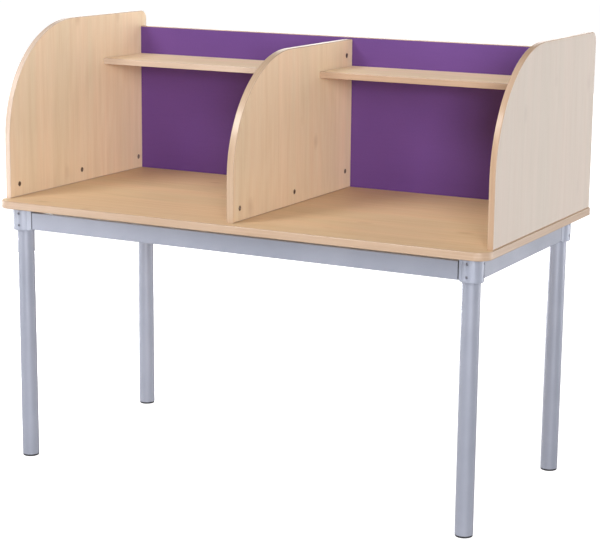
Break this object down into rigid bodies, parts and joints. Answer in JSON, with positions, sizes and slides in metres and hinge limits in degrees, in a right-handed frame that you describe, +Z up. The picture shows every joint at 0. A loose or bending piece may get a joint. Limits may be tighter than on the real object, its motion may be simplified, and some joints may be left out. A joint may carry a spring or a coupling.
{
  "type": "double study carrel",
  "caption": "Side-by-side study carrel: a tubular four-leg table with curved maple dividers, a purple back panel and a shelf over each work bay.",
  "frame": {"origin": "on the floor, under the middle of the worktop", "axes": "+X along the row of bays, +Y towards the back panel (users sit on the -Y side), +Z up"},
  "size_m": [1.5, 0.77, 1.2545],
  "materials": {
    "maple_board": "satin maple-effect melamine board, with matching edge band",
    "purple_board": "matte purple melamine board",
    "silver_coat": "fine silver-grey powder coat on steel tube",
    "casting_coat": "silver-grey powder coat on die-cast aluminium",
    "black_plastic": "moulded matte black",
    "cam_zinc": "dull bronze-grey die-cast zinc",
    "bolt_steel": "bright zinc-plated steel",
    "dowel_beech": "bare beech"
  },
  "bodies": {
    "root": {"back_panel": "purple_board", "back_rail": "silver_coat", "centre_divider": "maple_board", "clamp_screw_back_left_lower": "bolt_steel", "clamp_screw_back_left_upper": "bolt_steel", "clamp_screw_back_right_lower": "bolt_steel", "clamp_screw_back_right_upper": "bolt_steel", "clamp_screw_front_left_lower": "bolt_steel", "clamp_screw_front_left_upper": "bolt_steel", "clamp_screw_front_right_lower": "bolt_steel", "clamp_screw_front_right_upper": "bolt_steel", "corner_casting_back_left": "casting_coat", "corner_casting_back_right": "casting_coat", "corner_casting_front_left": "casting_coat", "corner_casting_front_right": "casting_coat", "divider_cam_back_lower": "cam_zinc", "divider_cam_back_lower_bolt": "bolt_steel", "divider_cam_back_upper": "cam_zinc", "divider_cam_back_upper_bolt": "bolt_steel", "divider_cam_front": "cam_zinc", "divider_cam_front_bolt": "bolt_steel", "divider_cam_middle": "cam_zinc", "divider_cam_middle_bolt": "bolt_steel", "foot_insert_back_left": "black_plastic", "foot_insert_back_right": "black_plastic", "foot_insert_front_left": "black_plastic", "foot_insert_front_right": "black_plastic", "front_rail": "silver_coat", "left_panel_cam_back": "cam_zinc", "left_panel_cam_back_bolt": "bolt_steel", "left_panel_cam_front": "cam_zinc", "left_panel_cam_front_bolt": "bolt_steel", "left_panel_cam_middle": "cam_zinc", "left_panel_cam_middle_bolt": "bolt_steel", "left_rail": "silver_coat", "left_shelf": "maple_board", "left_side_panel": "maple_board", "leg_back_left": "silver_coat", "leg_back_right": "silver_coat", "leg_front_left": "silver_coat", "leg_front_right": "silver_coat", "right_panel_cam_back": "cam_zinc", "right_panel_cam_back_bolt": "bolt_steel", "right_panel_cam_front": "cam_zinc", "right_panel_cam_front_bolt": "bolt_steel", "right_panel_cam_middle": "cam_zinc", "right_panel_cam_middle_bolt": "bolt_steel", "right_rail": "silver_coat", "right_shelf": "maple_board", "right_side_panel": "maple_board", "shelf_dowel_centre": "dowel_beech", "shelf_dowel_left": "dowel_beech", "shelf_dowel_right": "dowel_beech", "shelf_screw_left": "bolt_steel", "shelf_screw_right": "bolt_steel", "worktop": "maple_board", "worktop_screw_back_left": "bolt_steel", "worktop_screw_back_right": "bolt_steel", "worktop_screw_front_left": "bolt_steel", "worktop_screw_front_right": "bolt_steel"}
  },
  "joints": []
}
